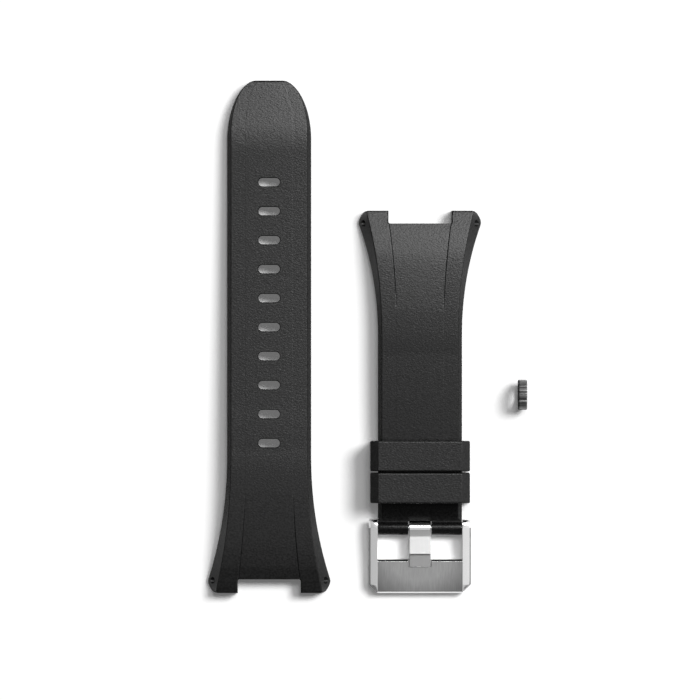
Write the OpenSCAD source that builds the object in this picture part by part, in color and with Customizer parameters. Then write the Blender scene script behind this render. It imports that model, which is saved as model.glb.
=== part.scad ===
// Rubber watch strap in two curved halves, with a pin buckle, two loops and a crown cover.
// Both halves lie face up. X runs across them, Y along them, Z up from the table.

/* [Strap section] */
// Width of the straight part of both halves
strap_w = 20; // [18:0.5:22]
// Thickness of the straight part
strap_t = 3.2; // [2.8:0.1:3.6]
// Plan width of the slanted flank along the straight part
flank_w = 0.9; // [0.5:0.1:1.3]
// Height of the upright edge under the flank
edge_h = 0.6; // [0.4:0.05:0.9]
// Rounding of the top and bottom edges
edge_r = 0.3; // [0.1:0.05:0.4]
// Crown of the top face across the width
crown = 0.12; // [0.08:0.01:0.3]
// Hollow of the underside across the width
hollow = 0.1; // [0.05:0.01:0.2]
// Height of the underside at the top of the arch
arch_h = 3.4; // [2.6:0.1:4.2]
// Distance from the ear ends to the top of the arch
crest = 34; // [32:1:38]

/* [Watch end] */
// Width across the ears
ear_w = 29.2; // [27:0.2:31]
// Thickness at the ears
ear_t = 4.3; // [4.1:0.1:5]
// Plan width of the slanted flank at the ears
ear_flank_w = 2.5; // [1.8:0.1:3]
// Distance from the ear ends to the lug bore
ear_reach = 3; // [2.6:0.1:3.4]
// How far each ear draws in from its widest point to its end
ear_taper = 1.45; // [0.8:0.05:1.8]
// Width of the notch between the ears
notch_w = 15; // [13:0.5:17]
// Depth of the notch at the top face
notch_d = 3.3; // [3:0.1:3.7]
// Radius of the rounded seat inside the notch, about the lug bore
seat_r = 1.6; // [1.3:0.05:1.7]
// Depth of the step from the side ridges down to the middle panel
panel_dip = 0.3; // [0.2:0.05:0.6]
// Half width of the middle panel where its step fades out
panel_end = 5.7; // [5:0.1:6.5]

/* [Lug bushes] */
// Outside diameter of the steel bush in each ear
bush_d = 2; // [1.8:0.1:2.2]
// Bore of the bush, for the bar of the watch case
lug_bore_d = 1.5; // [1.2:0.1:1.6]
// How far the bush stays back from the flank
bush_setback = 0.95; // [0.7:0.05:1.3]

/* [Tail half] */
// Length of the tail half from ear ends to tip
long_len = 122; // [112:1:130]
// Length of the flare on the tail half
long_flare = 30; // [24:1:32]
// Length of the rounded tip
tip_len = 14; // [11:0.5:17]
// Width of the flat at the end of the tip
tip_flat = 6.6; // [4:0.2:9]
// Drop of the tip per millimetre of length
tip_slope = 0.12; // [0.06:0.01:0.16]
// Number of adjustment holes
hole_count = 10; // [6:1:10]
// Distance from one hole to the next
hole_pitch = 6.9; // [6:0.1:7]
// Distance from the tip to the first hole
first_hole = 24.2; // [20:0.2:28]
// Length of a hole across the strap
hole_l = 5.4; // [5.3:0.1:6.5]
// Width of a hole along the strap
hole_w = 2.4; // [2:0.1:2.8]

/* [Buckle half] */
// Length of the buckle half from ear ends to the spring bar
short_len = 75.5; // [70:0.5:80]
// Length of the flare on the buckle half
short_flare = 27; // [22:1:30]
// Thickness of the neck just before the bead
neck_t = 2.1; // [1.8:0.1:2.4]
// Length of the neck
neck_len = 8; // [7:0.5:10]
// Diameter of the bead round the spring bar
bead_d = 3.4; // [3:0.1:3.8]

/* [Loops] */
// Width of a loop along the strap
loop_w = 7.2; // [6:0.2:8]
// Wall of a loop
loop_t = 1.5; // [1.2:0.1:1.7]
// Play of the two strap layers inside a loop
loop_play = 0.5; // [0.3:0.05:0.8]
// Distance from the spring bar to the middle of the lower loop
loop_at = 9.55; // [8.8:0.05:12]
// Gap between the two loops
loop_gap = 0.38; // [0.35:0.01:1]
// Plan width of the bevel on the top corners of a loop
loop_bevel = 1.9; // [1:0.1:2.2]

/* [Buckle] */
// Width of one arm of the frame
arm_w = 2.05; // [1.8:0.05:2.6]
// Distance from the spring bar to the front edge of the frame
buckle_reach = 15.5; // [14:0.5:18]
// Width of the front bar along the strap
front_bar = 8; // [6.5:0.1:8.5]
// Height of the front edge of the frame
front_h = 3.4; // [3:0.1:3.8]
// Radius of the arm ends round the spring bar
boss_r = 2; // [1.7:0.05:2.3]
// Drop of the front bar's face below the arms
face_dip = 0.25; // [0.1:0.05:0.4]
// Corner cut of the frame in plan
corner_cut = 2.1; // [1:0.1:2.6]
// Small chamfer along the frame's top edges
frame_edge = 0.3; // [0.1:0.05:0.4]
// Width of the tongue
tongue_w = 5.1; // [4.4:0.1:5.1]
// Thickness of the tongue's tip
tongue_t = 1.3; // [1.1:0.1:1.5]
// Height of the ridge across the tongue above its flat
tongue_rise = 0.6; // [0.3:0.05:0.8]
// Overlap of the tongue on the front bar
tongue_lap = 1.75; // [1.2:0.05:2.4]

/* [Spring bar] */
// Diameter of the spring bar's tube
bar_d = 1.5; // [1.3:0.1:1.7]
// Wall of the tube
bar_wall = 0.23; // [0.18:0.01:0.26]
// Diameter of the bar's tips
nose_d = 0.76; // [0.6:0.02:0.78]
// Length of a tip inside the frame's arm
nose_in = 1; // [0.8:0.05:1.2]
// Turns of the spring inside the tube
spring_turns = 18; // [12:1:20]
// Diameter of the spring's wire
wire_d = 0.14; // [0.1:0.01:0.16]

/* [Crown cover] */
// Diameter of the crown cover
crown_d = 7.2; // [6.4:0.1:8]
// Width of the crown cover along its bore
crown_w = 2.2; // [1.8:0.1:3]
// Diameter of its bore
crown_bore = 4.8; // [4:0.1:5.2]
// Number of grooves round the rim
crown_flutes = 13; // [9:1:16]
// Radius of one groove
flute_r = 0.42; // [0.25:0.01:0.5]
// Turn of the grooves from the top of the rim, in degrees
crown_turn = 7; // [0:1:20]

/* [Layout] */
// Distance between the centre lines of the two halves
half_gap = 35.9; // [33:0.1:45]
// Distance from the buckle half's centre line to the crown cover
crown_gap = 24.4; // [18:0.1:30]
// Place of the crown cover along the strap
crown_y = -13.8; // [-40:0.1:40]

/* [Clearances] */
// Running clearance round the spring bar and its tips
run_gap = 0.05; // [0.02:0.01:0.09]
// Side clearance between strap, frame arms, tongue and loops
side_gap = 0.25; // [0.2:0.01:0.35]
// Clearance between the bead's ends and the frame's arms
arm_gap = 0.1; // [0.05:0.01:0.2]
// Clearance under the strap inside a loop
loop_lift = 0.15; // [0.1:0.01:0.3]

/* [Hidden] */
$fn = 64;
eps = 0.01;
over = 2;

// Layout: the set is centred on the origin, and both halves end level at the lower side.
set_w = ear_w / 2 + half_gap + crown_gap + crown_w / 2;
long_x = ear_w / 2 - set_w / 2;
short_x = long_x + half_gap;
crown_x = short_x + crown_gap;
long_y = -long_len / 2;
bar_y = -long_len / 2 + buckle_reach;
short_y = bar_y + short_len;

// Widths and sections shared by the two halves
ear_power = 2.1;
tip_power = 0.55;
panel_power = 1.7;
panel_step = 0.3;
panel_clear = 0.12;
panel_share = 0.6;
panel_len = 24;
dip_gain = 1.6;
ear_round = 0.6;
ear_curve = 1.8;
flank_cut = 0.35;

// Underside: its slope is a straight-line function of the distance from the ears.
neck_start = short_len - neck_len;
neck_level = neck_start + neck_len / 2;
neck_flat = 2;
taper_start = neck_start + neck_flat;
taper_end = short_len - bead_d / 2 - 0.2;
neck_z = loop_t + loop_lift;
ear_slope = 2 * arch_h / crest;
tip_straight = 10;
tip_bend = 7;
mid_bend = 10;
tip_drop = tip_slope * (tip_straight + tip_bend / 2);
mid_len = long_len - crest - mid_bend / 2 - tip_straight - tip_bend / 2;
mid_slope = (arch_h - tip_drop) / mid_len;
long_line = [[0, ear_slope], [crest, 0], [crest + mid_bend, -mid_slope],
    [long_len - tip_straight - tip_bend, -mid_slope], [long_len - tip_straight, -tip_slope],
    [long_len, -tip_slope]];
neck_slope = 2 * (arch_h - neck_z) / (neck_level - crest);
short_line = [[0, ear_slope], [crest, 0], [neck_level, -neck_slope], [neck_level + eps, 0],
    [short_len, 0]];

// Thickness along each half
tip_edge_t = 1.7;
tip_edge_len = 0.9;
long_thick = [[0, ear_t - 0.2], [6, ear_t], [13, ear_t - 0.2], [crest, strap_t + 0.1],
    [crest + mid_bend, strap_t], [long_len - tip_edge_len, strap_t], [long_len, tip_edge_t]];
short_thick = [[0, ear_t - 0.2], [6, ear_t], [13, ear_t - 0.2], [crest, strap_t + 0.1],
    [taper_start, strap_t], [taper_end, neck_t], [short_len, neck_t]];

// Spring bar, buckle and loops, measured from the spring bar
bar_z = neck_z + neck_t / 2;
inside_w = strap_w + 2 * arm_gap;
outside_w = inside_w + 2 * arm_w;
tube_len = strap_w - 0.4;
crimp = 0.3;
bore_r = bar_d / 2 - bar_wall;
shoulder_r = bore_r - run_gap;
tip_in = tube_len / 2 - crimp - 0.1;
shoulder_len = 2.2;
spring_end = tip_in - shoulder_len;
nose_end = inside_w / 2 + nose_in;
slot_back = 2.9;
web_t = 0.7;
curl_t = 0.95;
curl_r = bar_d / 2 + run_gap + curl_t;
bar_in = buckle_reach - front_bar;
bar_edge = 0.5;
tongue_end = bar_in + tongue_lap;
tongue_lift = 0.05;
flat_len = 2.05;
step_w = 0.15;
ridge_back = 3.05;
ridge_y = tongue_end - ridge_back;
loop_in_w = strap_w + 2 * side_gap;
loop_in_h = 2 * strap_t + loop_play;
loop_out_w = loop_in_w + 2 * loop_t + 0.2;
loop_out_h = loop_in_h + 2 * loop_t;
loop_round = 0.5;
bevel_fall = 0.8 * loop_bevel;
crown_r = crown_d / 2;
crown_edge = 0.25;

// Lug bore: its height is the middle of the ear there.
function rise(s, line, i = 1) = i >= len(line) || s <= line[i - 1][0] ? 0
    : let(e = min(s, line[i][0]), m = lookup(e, line))
      (line[i - 1][1] + m) / 2 * (e - line[i - 1][0]) + rise(s, line, i + 1);
bore_z = rise(ear_reach, long_line) + lookup(ear_reach, long_thick) / 2;

// Share of the flare that is left at a distance from the ears, which runs on past the bore
function flare(s, len) = s >= ear_reach + len ? 0 : pow(1 - (s - ear_reach) / len, ear_power);

// Half width of the outline at the underside and at the top face
function low_w(s, len) = s < ear_reach
    ? ear_w / 2 - ear_taper * pow(1 - s / ear_reach, ear_curve) - ear_corner(s)
    : strap_w / 2 + (ear_w - strap_w) / 2 * flare(s, len);
function high_w(s, len) = strap_w / 2 - flank_w - ear_corner(s)
    + ((ear_w - strap_w) / 2 - ear_flank_w + flank_w) * flare(s, len);
function ear_corner(s) = s >= ear_round ? 0
    : ear_round - sqrt(pow(ear_round, 2) - pow(ear_round - s, 2));
function tip_w(t) = t >= tip_len ? strap_w / 2
    : tip_flat / 2 + (strap_w - tip_flat) / 2 * pow(1 - pow(1 - t / tip_len, 2), tip_power);

// Half width and depth of the middle panel
function fade(s) = max(0, 1 - max(0, s - ear_reach) / panel_len);
function panel_w(s) = panel_end
    + (notch_w / 2 + panel_clear - panel_end) * pow(fade(s), panel_power);
function panel_z(s) = panel_dip * min(1, dip_gain * fade(s));

// One closed section of a half: underside, upright edge, flank, ridge and panel on each side
function section(y, w, tw, z0, z1, pw, dip) =
    let(p = min(pw, panel_share * tw),
        q = (z1 - flank_cut - z0 - edge_h) / (z1 - z0 - edge_h),
        side = [[w - edge_r, z0], [w, z0 + edge_r], [w, z0 + edge_h],
            [w + (tw - w) * q, z1 - flank_cut], [tw - edge_r, z1],
            [p + panel_step, z1 + crown / 3], [p, z1 + crown / 2 - dip]],
        n = len(side))
    concat([[0, y, z0 + hollow]], [for (c = side) [c[0], y, c[1]]], [[0, y, z1 + crown - dip]],
        [for (i = [n - 1:-1:0]) [-side[i][0], y, side[i][1]]]);

// Triangles that close the ends of such a section without crossing its hollows
half_cap = [[1, 2, 3], [1, 3, 4], [1, 4, 5], [1, 5, 6], [1, 6, 7], [1, 7, 0], [0, 7, 8]];
section_n = 2 * len(half_cap) + 2;
section_cap = concat(half_cap,
    [for (t = half_cap) [for (k = [2:-1:0]) (section_n - t[k]) % section_n]]);

// Solid through a list of sections that all have the same number of points
module loft(rings, cap) {
    n = len(rings[0]);
    last = (len(rings) - 1) * n;
    sides = [for (i = [0:n:last - n], j = [0:n - 1])
        let(a = i + j, b = i + (j + 1) % n)
        each [[a, b, b + n], [a, b + n, a + n]]];
    near = [for (t = cap) [t[2], t[1], t[0]]];
    far = [for (t = cap) [for (k = t) last + k]];
    polyhedron(points = [for (r = rings) each r], faces = concat(near, sides, far));
}

// Stations along a half: close together at the ears and over the flare
ear_stations = concat([for (a = [0:30:90]) ear_round * (1 - cos(a))],
    [for (i = [1:5]) ear_round + (ear_reach - ear_round) * i / 5]);
function flare_stations(len) = [for (i = [1:22]) ear_reach + len * i / 22];

// Section at a distance from the ears, from the half's underside line and thickness table
function half_section(s, line, thick, w, tw) =
    let(c = ear_corner(s), z0 = rise(s, line))
    section(s, w, tw, z0 + c, z0 + lookup(s, thick) - c, panel_w(s), panel_z(s));

// Cuts at the watch end, shared by the two halves: notch, its rounded seat, and the lug bore
module ear_cuts() {
    translate([-notch_w / 2, -over, -over]) cube([notch_w, over + notch_d, ear_t + 3 * over]);
    translate([0, ear_reach, bore_z]) rotate([0, 90, 0]) {
        cylinder(r = seat_r, h = notch_w, center = true);
        cylinder(d = bush_d, h = ear_w + over, center = true);
    }
}

// Steel bush in one ear, on the side given by the sign
module bush(side) {
    flank_x = ear_w / 2 - ear_flank_w * (bore_z - edge_h) / ear_t;
    out = flank_x - bush_setback;
    translate([side > 0 ? notch_w / 2 : -out, ear_reach, bore_z]) rotate([0, 90, 0])
        difference() {
            cylinder(d = bush_d, h = out - notch_w / 2);
            translate([0, 0, -over]) cylinder(d = lug_bore_d, h = out + 2 * over);
        }
}

module slot_2d(l, w) {
    square([l - w, w], center = true);
    for (side = [-1, 1]) translate([side * (l - w) / 2, 0]) circle(d = w);
}

module at_long() translate([long_x, long_y, 0]) children();
module at_short() translate([short_x, short_y, 0]) rotate(180) children();
module at_bar() translate([short_x, bar_y, bar_z]) rotate(180) children();

// Tail half
module long_strap() {
    tip_start = long_len - tip_len;
    stations = concat(ear_stations, flare_stations(long_flare),
        [crest + mid_bend, long_len - tip_straight - tip_bend],
        [for (i = [0:12]) tip_start + tip_len * sin(90 * i / 13)],
        [long_len]);
    color("#2c2c2d") at_long() difference() {
        loft([for (s = stations)
            let(at_tip = s > tip_start,
                lw = at_tip ? tip_w(long_len - s) : low_w(s, long_flare),
                hw = at_tip ? lw - flank_w : high_w(s, long_flare))
            half_section(s, long_line, long_thick, lw, hw)], section_cap);
        ear_cuts();
        for (i = [0:hole_count - 1])
            translate([0, long_len - first_hole - i * hole_pitch, -over])
                linear_extrude(arch_h + strap_t + 2 * over) slot_2d(hole_l, hole_w);
    }
}

// Buckle half, which ends in a bead bored for the spring bar and slotted for the tongue
module short_strap() {
    flare_end = ear_reach + short_flare;
    stations = concat(ear_stations, flare_stations(short_flare),
        [for (i = [1:6]) flare_end + (neck_start - flare_end) * i / 6],
        [taper_start, neck_level, taper_end, short_len]);
    color("#2c2c2d") at_short() difference() {
        union() {
            loft([for (s = stations) half_section(s, short_line, short_thick,
                low_w(s, short_flare), high_w(s, short_flare))], section_cap);
            translate([0, short_len, bar_z]) rotate([0, 90, 0])
                cylinder(d = bead_d, h = strap_w, center = true);
        }
        ear_cuts();
        translate([0, short_len, bar_z]) rotate([0, 90, 0])
            cylinder(r = bar_d / 2 + run_gap, h = strap_w + over, center = true);
        tongue_slot();
    }
}

// Slot for the tongue: open about its curl and in front of it, with a thin web behind the curl
module tongue_slot() {
    w = tongue_w + 2 * side_gap;
    translate([-w / 2, short_len - slot_back, neck_z + web_t])
        cube([w, slot_back + bead_d, arch_h + over]);
    translate([-w / 2, short_len, -over]) cube([w, bead_d, arch_h + over]);
    translate([0, short_len, bar_z]) rotate([0, 90, 0])
        cylinder(r = curl_r + 2 * run_gap, h = w, center = true);
}

module long_bush_left() color("silver") at_long() bush(-1);
module long_bush_right() color("silver") at_long() bush(1);
module short_bush_left() color("silver") at_short() bush(1);
module short_bush_right() color("silver") at_short() bush(-1);

// Loop that holds the tail on the strap, with bevelled top corners
module strap_loop() {
    r = loop_round;
    w = loop_out_w / 2;
    h = loop_out_h;
    rotate([90, 0, 0]) linear_extrude(loop_w, center = true) difference() {
        polygon([[-w + r, 0], [w - r, 0], [w, r], [w, h - bevel_fall], [w - loop_bevel, h],
            [-w + loop_bevel, h], [-w, h - bevel_fall], [-w, r]]);
        translate([-loop_in_w / 2, loop_t]) square([loop_in_w, loop_in_h]);
    }
}
module loop_lower() color("#303031") translate([short_x, bar_y + loop_at, 0]) strap_loop();
module loop_upper()
    color("#303031") translate([short_x, bar_y + loop_at + loop_w + loop_gap, 0]) strap_loop();

// Height of the frame's arms above the spring bar, at a distance in front of it
function arm_top(u) = boss_r + (front_h - bar_z - boss_r) * u / buckle_reach;
function arm_low(u) = -boss_r + (boss_r - bar_z) * u / buckle_reach;

// Extrudes a side view, drawn as distance in front of the bar and height, across the strap
module across(w) rotate([90, 0, 90]) linear_extrude(w, center = true) children();

// Height of the pocket's floor in the front bar, on which the tongue's tip lies
pocket_z = arm_top(bar_in) - face_dip - tongue_t - tongue_lift;

module buckle_frame() {
    color("#c9c9cb") at_bar() difference() {
        intersection() {
            union() {
                for (side = [-1, 1]) translate([side * (inside_w + arm_w) / 2, 0, 0])
                    across(arm_w) {
                        circle(r = boss_r);
                        polygon([[0, arm_low(0)], [buckle_reach, arm_low(buckle_reach)],
                            [buckle_reach, arm_top(buckle_reach)], [0, arm_top(0)]]);
                    }
                across(inside_w + 2 * eps) polygon([[bar_in, arm_low(bar_in)],
                    [buckle_reach, arm_low(buckle_reach)],
                    [buckle_reach, arm_top(buckle_reach) - face_dip - frame_edge],
                    [buckle_reach - frame_edge, arm_top(buckle_reach) - face_dip],
                    [bar_in + bar_edge, arm_top(bar_in) - face_dip],
                    [bar_in, arm_top(bar_in) - face_dip - bar_edge]]);
            }
            frame_outline();
        }
        for (side = [-1, 1]) {
            // blind hole for a tip of the spring bar
            translate([side * (inside_w / 2 + nose_in / 2), 0, 0]) rotate([0, 90, 0])
                cylinder(r = nose_d / 2 + run_gap, h = nose_in + 0.2, center = true);
            // chamfer along the outer top edge of the arm
            edge_cut(side);
        }
        // pocket that the tongue's tip lies in
        translate([-tongue_w / 2 - side_gap, 0, pocket_z])
            cube([tongue_w + 2 * side_gap, tongue_end + 0.2, over * 2]);
    }
}

// Plan outline of the frame with its two corners cut
module frame_outline() {
    w = outside_w / 2;
    translate([0, 0, -3 * over]) linear_extrude(6 * over)
        polygon([[-w, -boss_r - over], [w, -boss_r - over], [w, buckle_reach - corner_cut],
            [w - corner_cut, buckle_reach], [-w + corner_cut, buckle_reach],
            [-w, buckle_reach - corner_cut]]);
}

// Wedge that chamfers the outer top edge of one arm
module edge_cut(side) {
    tilt = atan((arm_top(0) - arm_top(buckle_reach)) / buckle_reach);
    translate([side * outside_w / 2, 0, arm_top(0)]) rotate([-tilt, 0, 0]) rotate([0, 45, 0])
        cube([frame_edge * sqrt(2), 3 * buckle_reach, frame_edge * sqrt(2)], center = true);
}

// Tongue: a curl round the spring bar, a flat, a rising ridge, a step and a thin tip
module tongue() {
    flat_z = curl_r - tongue_lift;
    low_z = pocket_z + tongue_lift;
    tip_z = low_z + tongue_t;
    color("#bdbdbf") at_bar() difference() {
        across(tongue_w) {
            circle(r = curl_r);
            polygon([[0, 0], [curl_r, low_z - step_w], [ridge_y, low_z], [tongue_end, low_z],
                [tongue_end, tip_z], [ridge_y + step_w, tip_z + step_w],
                [ridge_y, flat_z + tongue_rise], [flat_len, flat_z], [0, flat_z]]);
        }
        rotate([0, 90, 0]) cylinder(r = bar_d / 2 + run_gap, h = tongue_w + over, center = true);
    }
}

// Spring bar: a tube with rolled ends, two tips and a spring between them
module bar_tube() color("#d0d0d2") at_bar() rotate([0, 90, 0]) difference() {
    cylinder(d = bar_d, h = tube_len, center = true);
    cylinder(r = bore_r, h = tube_len - 2 * crimp, center = true);
    cylinder(r = nose_d / 2 + run_gap, h = tube_len + over, center = true);
}
module bar_tip(side) color("#d0d0d2") at_bar() rotate([0, side * 90, 0]) {
    translate([0, 0, spring_end]) cylinder(r = shoulder_r, h = shoulder_len);
    translate([0, 0, tip_in - eps]) cylinder(d = nose_d, h = nose_end - tip_in + eps);
}
module bar_tip_left() bar_tip(1);
module bar_tip_right() bar_tip(-1);
module bar_spring() {
    coil_r = shoulder_r - wire_d / 2;
    run = 2 * spring_end - wire_d;
    step = 45;
    sides = 5;
    rings = [for (a = [0:step:360 * spring_turns])
        let(x = -run / 2 + run * a / (360 * spring_turns))
        [for (k = [0:sides - 1]) let(b = 360 * k / sides, r = coil_r + wire_d / 2 * cos(b))
            [x + wire_d / 2 * sin(b), r * cos(a), r * sin(a)]]];
    color("#a8a8aa") at_bar() loft(rings, [for (k = [1:sides - 2]) [0, k, k + 1]]);
}

// Crown cover: a fluted rubber ring that stands on its rim
module crown_cover() {
    c = crown_edge;
    color("#2c2c2d") translate([crown_x, crown_y, crown_r]) rotate([0, 90, 0]) difference() {
        rotate_extrude() polygon([[crown_bore / 2, -crown_w / 2], [crown_r - c, -crown_w / 2],
            [crown_r, -crown_w / 2 + c], [crown_r, crown_w / 2 - c], [crown_r - c, crown_w / 2],
            [crown_bore / 2, crown_w / 2]]);
        for (i = [0:crown_flutes - 1]) rotate(360 * (i + 0.5) / crown_flutes - crown_turn)
            translate([crown_r + flute_r * 0.3, 0, 0])
                cylinder(r = flute_r, h = crown_w + over, center = true);
    }
}

long_strap();
long_bush_left();
long_bush_right();
short_strap();
short_bush_left();
short_bush_right();
loop_upper();
loop_lower();
buckle_frame();
tongue();
bar_tube();
bar_tip_left();
bar_tip_right();
bar_spring();
crown_cover();
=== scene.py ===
import bpy
import bmesh
import math
import numpy as np
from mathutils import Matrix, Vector


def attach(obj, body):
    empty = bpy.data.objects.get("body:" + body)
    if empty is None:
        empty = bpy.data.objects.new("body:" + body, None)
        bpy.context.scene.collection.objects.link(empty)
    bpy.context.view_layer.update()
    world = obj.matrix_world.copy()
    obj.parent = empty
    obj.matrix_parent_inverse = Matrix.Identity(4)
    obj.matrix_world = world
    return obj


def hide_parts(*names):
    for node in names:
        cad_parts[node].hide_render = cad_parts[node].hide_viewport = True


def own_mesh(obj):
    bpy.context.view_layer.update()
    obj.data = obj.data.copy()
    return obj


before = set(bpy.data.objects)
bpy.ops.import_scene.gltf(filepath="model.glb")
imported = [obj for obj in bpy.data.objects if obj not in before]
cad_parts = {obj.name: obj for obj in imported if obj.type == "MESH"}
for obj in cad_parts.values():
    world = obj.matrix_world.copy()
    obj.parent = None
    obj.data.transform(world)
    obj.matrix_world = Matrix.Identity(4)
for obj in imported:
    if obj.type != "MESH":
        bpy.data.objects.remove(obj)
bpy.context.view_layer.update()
mm = 0.001
print("frame loaded")

# places on the table, in mm: centre lines, ear ends and the spring bar
layout = {"tailX": -23.4, "buckleX": 12.5, "coverX": 36.9, "coverY": -13.8,
          "tailEarY": -61.0, "buckleEarY": 30.0, "barY": -45.5, "barZ": 2.7}

# meshes are cleaned of points and edges closer or shorter than this, in mm, and a rounded corner
# takes at most this share of its sides
weld = {"points": 0.002, "edges": 0.001, "cornerMost": 0.45}


# Meshes

def gridFaces(rows, cols, wrapRows=False, wrapCols=False):
    # quads between neighbouring rows and columns; a wrapped side joins its last to its first
    i = np.arange(rows if wrapRows else rows - 1)[:, None]
    j = np.arange(cols if wrapCols else cols - 1)[None, :]
    i, j = np.broadcast_arrays(i, j)
    i2, j2 = (i + 1) % rows, (j + 1) % cols
    return np.stack([i * cols + j, i * cols + j2, i2 * cols + j2, i2 * cols + j], -1).reshape(-1, 4)


def addObject(name, data):
    obj = bpy.data.objects.new(name, data)
    bpy.context.scene.collection.objects.link(obj)
    return obj


def makeObject(name, points, faces, capEnds=0):
    # points in mm; capEnds is the ring length of an open tube whose two ends get a face each
    points = np.asarray(points).reshape(-1, 3)
    faces = np.asarray(faces).tolist()
    if capEnds:
        total = len(points)
        faces += [list(range(capEnds))[::-1], list(range(total - capEnds, total))]
    mesh = bpy.data.meshes.new(name)
    mesh.from_pydata((points * mm).tolist(), [], faces)
    tidyMesh(mesh)
    return addObject(name, mesh)


def tidyMesh(mesh):
    # merges doubles, drops what has no area and turns every face outwards
    work = bmesh.new()
    work.from_mesh(mesh)
    bmesh.ops.remove_doubles(work, verts=work.verts, dist=weld["points"] * mm)
    bmesh.ops.dissolve_degenerate(work, edges=work.edges, dist=weld["edges"] * mm)
    bmesh.ops.recalc_face_normals(work, faces=work.faces)
    work.to_mesh(mesh)
    work.free()


def roundedPath(corners, cuts, steps, closed=False):
    # each corner becomes a quadratic arc: (1-t)^2 start + 2t(1-t) corner + t^2 end, where start and
    # end lie the corner's cut away along its two sides; corners is (..., corner, 2)
    corners = np.asarray(corners, float)
    before, after = np.roll(corners, 1, -2), np.roll(corners, -1, -2)
    if not closed:
        before[..., 0, :], after[..., -1, :] = corners[..., 0, :], corners[..., -1, :]
    out = []
    for k, (cut, step) in enumerate(zip(cuts, steps)):
        here, back, ahead = corners[..., k, :], before[..., k, :], after[..., k, :]
        if step == 1:
            out.append(here[..., None, :])
            continue
        t = np.linspace(0, 1, step)[:, None]
        sides = []
        for other in (back, ahead):
            length = np.maximum(np.linalg.norm(other - here, axis=-1, keepdims=True), 1e-9)
            sides.append(here + (other - here) * np.minimum(cut / length, weld["cornerMost"]))
        start, end = sides[0][..., None, :], sides[1][..., None, :]
        out.append((1 - t) ** 2 * start + 2 * t * (1 - t) * here[..., None, :] + t ** 2 * end)
    return np.concatenate(out, -2)


def carve(obj, cutters, added=()):
    # joins the added solids to the piece, cuts each closed cutter out of it, and drops them all
    for other in (*added, *cutters):
        cut = obj.modifiers.new("cut", "BOOLEAN")
        cut.operation = "UNION" if other in added else "DIFFERENCE"
        cut.solver, cut.object = "EXACT", other
    done = obj.evaluated_get(bpy.context.evaluated_depsgraph_get())
    mesh = bpy.data.meshes.new_from_object(done)
    obj.modifiers.clear()
    obj.data = mesh
    for other in (*added, *cutters):
        bpy.data.objects.remove(other)
    tidyMesh(mesh)


# a face is steep, or a wall, where its normal points up by less than these shares; a flank where
# it points sideways by more than this one; and a crease stays crisp from this angle, in radians
dress = {"steep": 0.96, "wall": 0.2, "flank": 0.5, "crease": 0.12}


def dressSides(obj, shadeTo=None):
    # steep faces take the piece's second material, walls its third, and all but the flanks in
    # front of the given place its fourth, a darker rubber as painted shade; edges beside steep
    # faces stay crisp, so that small lips don't shade wide faces
    work = bmesh.new()
    work.from_mesh(obj.data)
    for face in work.faces:
        up = abs(face.normal.z)
        dark = shadeTo is not None and face.calc_center_median().y < shadeTo * mm \
            and abs(face.normal.x) < dress["flank"]
        face.material_index = 3 if dark else 2 if up < dress["wall"] else int(up < dress["steep"])
    for edge in work.edges:
        steepOnes = {abs(face.normal.z) < dress["steep"] for face in edge.link_faces}
        if len(steepOnes) > 1 and edge.calc_face_angle(0) > dress["crease"]:
            edge.smooth = False
    work.to_mesh(obj.data)
    work.free()


def finishPiece(obj, body, node, materials, sharp=38):
    # smooth shading with edges crisp from the sharp angle, the materials, and the piece's body; the
    # CAD solid that it replaces is hidden
    obj.data.shade_smooth()
    obj.data.set_sharp_from_angle(angle=math.radians(sharp))
    flatter = obj.modifiers.new("flatter", "WEIGHTED_NORMAL")
    flatter.mode, flatter.keep_sharp = "FACE_AREA", True
    obj.data.materials.clear()
    for material in materials:
        obj.data.materials.append(material)
    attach(obj, body)
    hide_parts(node)


# Materials

def newMaterial(name, metallic=0.0):
    material = bpy.data.materials.new(name)
    material.use_nodes = True
    tree = material.node_tree
    shader = tree.nodes["Principled BSDF"]
    shader.inputs["Metallic"].default_value = metallic
    place = tree.nodes.new("ShaderNodeTexCoord")
    return material, tree, shader, place


def addNoise(tree, place, scale, detail=2.0, stretch=(1, 1, 1), roughness=0.5):
    mapping = tree.nodes.new("ShaderNodeMapping")
    mapping.inputs["Scale"].default_value = stretch
    noise = tree.nodes.new("ShaderNodeTexNoise")
    noise.inputs["Scale"].default_value = scale
    noise.inputs["Detail"].default_value = detail
    noise.inputs["Roughness"].default_value = roughness
    tree.links.new(place.outputs["Object"], mapping.inputs["Vector"])
    tree.links.new(mapping.outputs["Vector"], noise.inputs["Vector"])
    return noise


def addRamp(tree, source, places, colors):
    # goes from the first colour to the second between two places
    ramp = tree.nodes.new("ShaderNodeValToRGB")
    for point, at, color in zip(ramp.color_ramp.elements, places, colors):
        point.position, point.color = at, (*color, 1)
    tree.links.new(source, ramp.inputs["Fac"])
    return ramp


def addRange(tree, source, low, high):
    # 0 to 1 becomes low to high
    span = tree.nodes.new("ShaderNodeMapRange")
    span.inputs["To Min"].default_value = low
    span.inputs["To Max"].default_value = high
    tree.links.new(source, span.inputs["Value"])
    return span


def addSpan(tree, source, start, end, low, high):
    # start to end becomes low to high, and past them it stays so
    span = addRange(tree, source, low, high)
    span.inputs["From Min"].default_value = start
    span.inputs["From Max"].default_value = end
    return span


def addMath(tree, operation, first, second):
    node = tree.nodes.new("ShaderNodeMath")
    node.operation = operation
    tree.links.new(first, node.inputs[0])
    tree.links.new(second, node.inputs[1])
    return node


def addPick(tree, share, first, second):
    # first where the share is 0 and second where it is 1
    pick = tree.nodes.new("ShaderNodeMix")
    pick.data_type = "FLOAT"
    tree.links.new(share, pick.inputs["Factor"])
    if first is not None:
        pick.inputs["A"].default_value = first
    if second is not None:
        pick.inputs["B"].default_value = second
    return pick


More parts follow.
